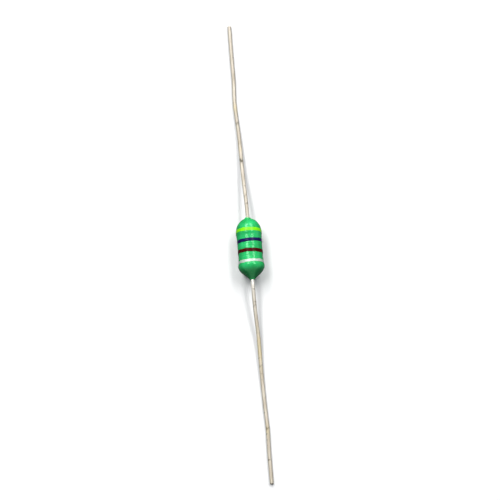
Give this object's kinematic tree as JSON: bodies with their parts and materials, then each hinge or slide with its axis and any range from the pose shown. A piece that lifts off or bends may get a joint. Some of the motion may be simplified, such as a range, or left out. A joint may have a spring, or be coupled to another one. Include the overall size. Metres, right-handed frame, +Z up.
{
  "type": "axial inductor",
  "caption": "Axial inductor: coil on a ferrite drum core in a green coat with painted bands and a tinned wire lead at each end.",
  "frame": {"origin": "on the surface that the inductor lies on, under the middle of its box", "axes": "+Y along the body to the yellow-band end, +Z up from the surface, +X to the right seen from above"},
  "size_m": [0.0036, 0.0624, 0.0035],
  "materials": {
    "ferrite": "fired, matt, dark grey",
    "enamelled_copper": "clear enamel over copper",
    "tinned_wire": "tinned, drawn, slightly worn",
    "solder": "satin solder",
    "adhesive": "amber epoxy",
    "green_coat": "dipped epoxy, glossy, ridged over the turns",
    "yellow_paint": "gloss paint",
    "violet_paint": "gloss paint",
    "red_paint": "gloss paint",
    "silver_paint": "metallic paint"
  },
  "bodies": {
    "root": {"drum_core": "ferrite", "winding": "enamelled_copper", "start_tail": "enamelled_copper", "finish_tail": "enamelled_copper", "yellow_end_lead": "tinned_wire", "silver_end_lead": "tinned_wire", "yellow_end_adhesive": "adhesive", "silver_end_adhesive": "adhesive", "yellow_end_solder": "solder", "silver_end_solder": "solder", "coating": "green_coat", "yellow_band": "yellow_paint", "violet_band": "violet_paint", "red_band": "red_paint", "silver_band": "silver_paint"}
  },
  "joints": []
}
